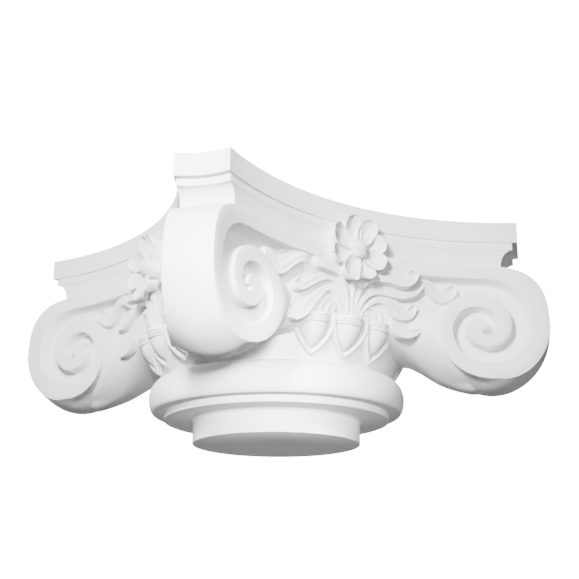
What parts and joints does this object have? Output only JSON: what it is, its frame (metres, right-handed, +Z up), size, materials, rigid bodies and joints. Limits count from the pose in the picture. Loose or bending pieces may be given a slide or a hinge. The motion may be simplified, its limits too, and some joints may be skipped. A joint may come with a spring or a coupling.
{
  "type": "column capital",
  "caption": "Angular Ionic column capital with corner volutes, concave abacus, turned ring and flower ornament, for the head of a round column.",
  "frame": {"origin": "middle of the flat round underside, which sits on the column shaft", "axes": "+Z up the column's axis; the concave faces look along +X, -X, +Y and -Y, and the volutes stand on the diagonals between them"},
  "size_m": [0.5042, 0.5042, 0.251],
  "materials": {
    "white_cast": "matt white primer on a cast surface"
  },
  "bodies": {
    "root": {"capital": "white_cast"}
  },
  "joints": []
}
